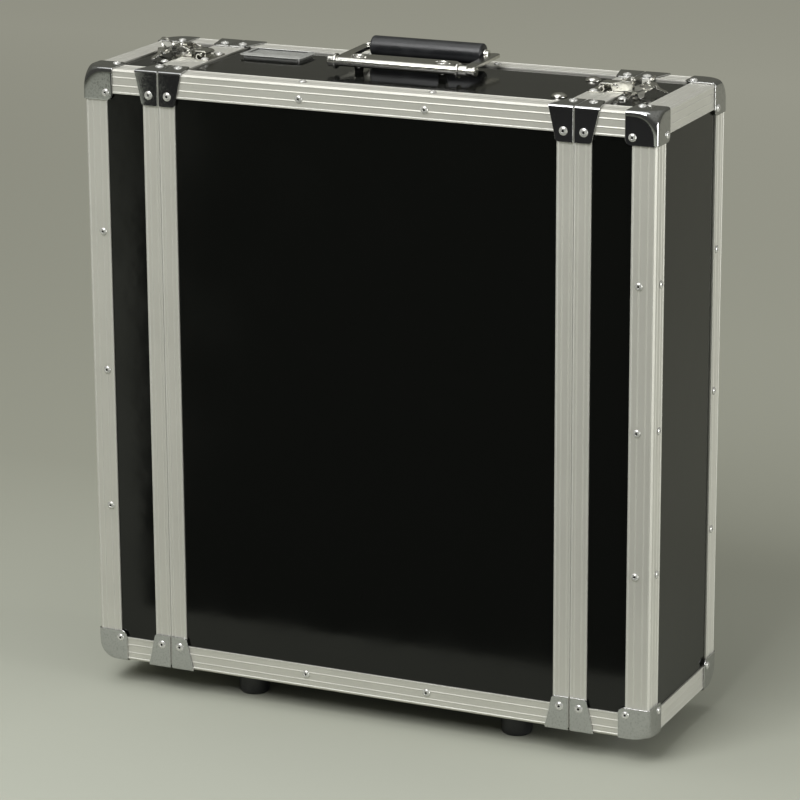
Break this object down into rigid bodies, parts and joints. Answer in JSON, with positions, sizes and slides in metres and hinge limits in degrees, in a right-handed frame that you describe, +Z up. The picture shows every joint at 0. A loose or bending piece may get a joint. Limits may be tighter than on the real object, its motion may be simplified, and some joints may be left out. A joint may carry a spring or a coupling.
{
  "type": "rack case",
  "caption": "Upright rack flight case of black boards with ribbed aluminium edging, lift-off end lids with draw latches, folding handle and rubber feet.",
  "frame": {"origin": "on the ground under the middle of the case, midway between the feet", "axes": "+Z up; +X towards the front lid, along the case's length; +Y across its thickness, away from the near broad side"},
  "size_m": [0.523, 0.1654, 0.5752],
  "materials": {
    "black_laminated_board": "glossy black laminate on board",
    "grey_foam": "dark open-cell foam",
    "satin_aluminium": "satin anodised, ribbed",
    "chromed_sheet": "bright plated sheet",
    "bright_rivets": "bright plated",
    "zinc_screws": "zinc plated",
    "zinc_rail": "zinc plated sheet",
    "black_rubber": "matte black rubber",
    "silver_plate": "bright, bare",
    "nickel_keys": "nickel plated",
    "bright_handle_steel": "bright plated steel",
    "nickel_latch": "bright nickel plated steel"
  },
  "bodies": {
    "case_body": {"bare_name_plate": "silver_plate", "body_board_bottom": "black_laminated_board", "body_board_far": "black_laminated_board", "body_board_near": "black_laminated_board", "body_board_top": "black_laminated_board", "body_brackets": "chromed_sheet", "body_edge_angles": "satin_aluminium", "body_rivets": "bright_rivets", "body_seam_frames": "satin_aluminium", "foot_screws": "zinc_screws", "handle_base": "bright_handle_steel", "handle_base_screws": "zinc_screws", "latch_keepers": "nickel_latch", "rack_rail_bottom": "zinc_rail", "rack_rail_top": "zinc_rail", "rail_bolts": "bright_rivets", "rail_nuts": "zinc_screws", "rubber_feet": "black_rubber"},
    "front_lid": {"front_key_ring": "nickel_keys", "front_keys": "nickel_keys", "front_latch_pins": "nickel_latch", "front_latch_plates": "nickel_latch", "front_lid_brackets": "chromed_sheet", "front_lid_corner_caps": "chromed_sheet", "front_lid_edging": "satin_aluminium", "front_lid_end_board": "black_laminated_board", "front_lid_lining": "grey_foam", "front_lid_rivets": "bright_rivets", "front_lid_seam_frame": "satin_aluminium", "front_lid_sides": "black_laminated_board"},
    "rear_lid": {"rear_key_ring": "nickel_keys", "rear_keys": "nickel_keys", "rear_latch_pins": "nickel_latch", "rear_latch_plates": "nickel_latch", "rear_lid_brackets": "chromed_sheet", "rear_lid_corner_caps": "chromed_sheet", "rear_lid_edging": "satin_aluminium", "rear_lid_end_board": "black_laminated_board", "rear_lid_lining": "grey_foam", "rear_lid_rivets": "bright_rivets", "rear_lid_seam_frame": "satin_aluminium", "rear_lid_sides": "black_laminated_board"},
    "handle": {"handle_arm_left": "bright_handle_steel", "handle_arm_right": "bright_handle_steel", "handle_grip": "black_rubber", "handle_pin": "bright_handle_steel", "handle_rod": "bright_handle_steel"},
    "front_top_lever": {"front_top_latch_lever": "nickel_latch", "front_top_claw_pin": "nickel_latch"},
    "front_top_claw": {"front_top_latch_claw": "nickel_latch"},
    "front_bottom_lever": {"front_bottom_latch_lever": "nickel_latch", "front_bottom_claw_pin": "nickel_latch"},
    "front_bottom_claw": {"front_bottom_latch_claw": "nickel_latch"},
    "rear_top_lever": {"rear_top_latch_lever": "nickel_latch", "rear_top_claw_pin": "nickel_latch"},
    "rear_top_claw": {"rear_top_latch_claw": "nickel_latch"},
    "rear_bottom_lever": {"rear_bottom_latch_lever": "nickel_latch", "rear_bottom_claw_pin": "nickel_latch"},
    "rear_bottom_claw": {"rear_bottom_latch_claw": "nickel_latch"}
  },
  "joints": [
    {"name": "front_lid_off", "type": "slide", "parent": "case_body", "child": "front_lid", "axis": [1, 0, 0], "range_m": [0, 0.12]},
    {"name": "rear_lid_off", "type": "slide", "parent": "case_body", "child": "rear_lid", "axis": [-1, 0, 0], "range_m": [0, 0.12]},
    {"name": "front_top_lever_hinge", "type": "hinge", "parent": "front_lid", "child": "front_top_lever", "pos_m": [0.19625, 0, 0.56], "axis": [0, -1, 0], "range_deg": [0, 85]},
    {"name": "front_top_claw_hinge", "type": "hinge", "parent": "front_top_lever", "child": "front_top_claw", "pos_m": [0.20085, 0, 0.5588], "axis": [0, -1, 0], "range_deg": [-85, 0]},
    {"name": "front_bottom_lever_hinge", "type": "hinge", "parent": "front_lid", "child": "front_bottom_lever", "pos_m": [0.19625, 0, 0.02], "axis": [0, 1, 0], "range_deg": [0, 85]},
    {"name": "front_bottom_claw_hinge", "type": "hinge", "parent": "front_bottom_lever", "child": "front_bottom_claw", "pos_m": [0.20085, 0, 0.0212], "axis": [0, 1, 0], "range_deg": [-85, 0]},
    {"name": "rear_top_lever_hinge", "type": "hinge", "parent": "rear_lid", "child": "rear_top_lever", "pos_m": [-0.19625, 0, 0.56], "axis": [0, 1, 0], "range_deg": [0, 85]},
    {"name": "rear_top_claw_hinge", "type": "hinge", "parent": "rear_top_lever", "child": "rear_top_claw", "pos_m": [-0.20085, 0, 0.5588], "axis": [0, 1, 0], "range_deg": [-85, 0]},
    {"name": "rear_bottom_lever_hinge", "type": "hinge", "parent": "rear_lid", "child": "rear_bottom_lever", "pos_m": [-0.19625, 0, 0.02], "axis": [0, -1, 0], "range_deg": [0, 85]},
    {"name": "rear_bottom_claw_hinge", "type": "hinge", "parent": "rear_bottom_lever", "child": "rear_bottom_claw", "pos_m": [-0.20085, 0, 0.0212], "axis": [0, -1, 0], "range_deg": [-85, 0]},
    {"name": "handle_hinge", "type": "hinge", "parent": "case_body", "child": "handle", "pos_m": [0, -0.011, 0.563], "axis": [1, 0, 0], "range_deg": [0, 90]}
  ],
  "couplings": [
    {"joint": "front_top_claw_hinge", "follows": "front_top_lever_hinge", "ratio": -1},
    {"joint": "front_bottom_claw_hinge", "follows": "front_bottom_lever_hinge", "ratio": -1},
    {"joint": "rear_top_claw_hinge", "follows": "rear_top_lever_hinge", "ratio": -1},
    {"joint": "rear_bottom_claw_hinge", "follows": "rear_bottom_lever_hinge", "ratio": -1}
  ]
}
